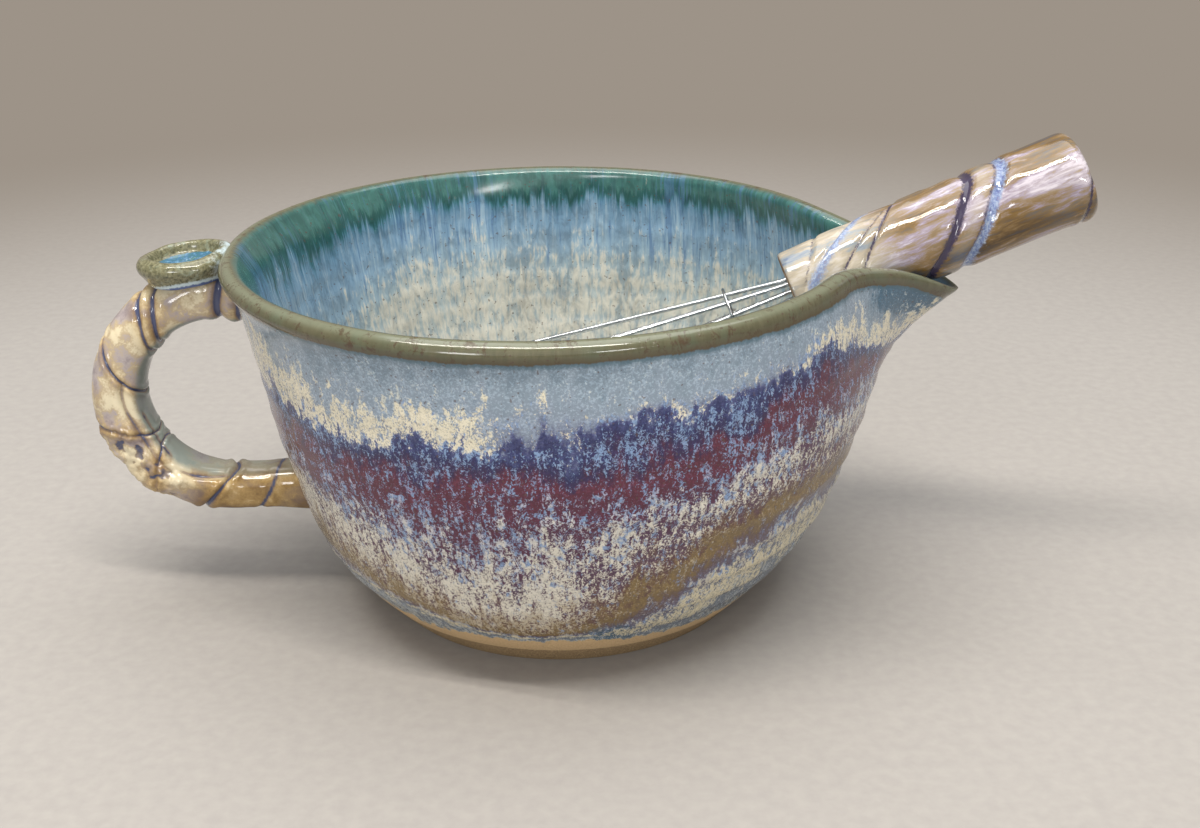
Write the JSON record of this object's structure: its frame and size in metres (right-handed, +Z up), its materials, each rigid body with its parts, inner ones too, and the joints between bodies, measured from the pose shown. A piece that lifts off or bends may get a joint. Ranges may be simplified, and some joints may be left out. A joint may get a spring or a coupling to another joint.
{
  "type": "batter bowl",
  "caption": "Round stoneware mixing bowl with a pulled pouring spout, a ring handle with a thumb rest, and a small wire whisk resting in the spout.",
  "frame": {"origin": "centre of the foot's flat underside, on the axis of the round foot", "axes": "+Z up; +X out along the pouring spout, with the handle at -X; +Y to the far side of the bowl"},
  "size_m": [0.3198, 0.1998, 0.1475],
  "materials": {
    "bowl_glaze": "layered rutile and blue-green gloss glazes over speckled buff stoneware, bare at the foot",
    "handle_glaze": "tan and lavender rutile gloss glaze, breaking dark blue in the grooves",
    "thumb_glaze": "olive green gloss glaze with a pale blue pool in the hollow",
    "whisk_glaze": "honey and cream rutile gloss glaze with blue and plum bands",
    "resin": "cured casting resin",
    "wire": "drawn stainless steel wire, bright"
  },
  "bodies": {
    "bowl": {"bowl_body": "bowl_glaze", "bowl_handle": "handle_glaze", "thumb_rest": "thumb_glaze"},
    "whisk": {"whisk_handle": "whisk_glaze", "whisk_plug": "resin", "whisk_tie": "wire", "whisk_loop_1": "wire", "whisk_loop_2": "wire", "whisk_loop_3": "wire", "whisk_loop_4": "wire", "whisk_loop_5": "wire"}
  },
  "joints": [
    {"name": "whisk_lift", "type": "slide", "parent": "bowl", "child": "whisk", "axis": [0, 0, 1], "range_m": [0, 0.16]}
  ]
}
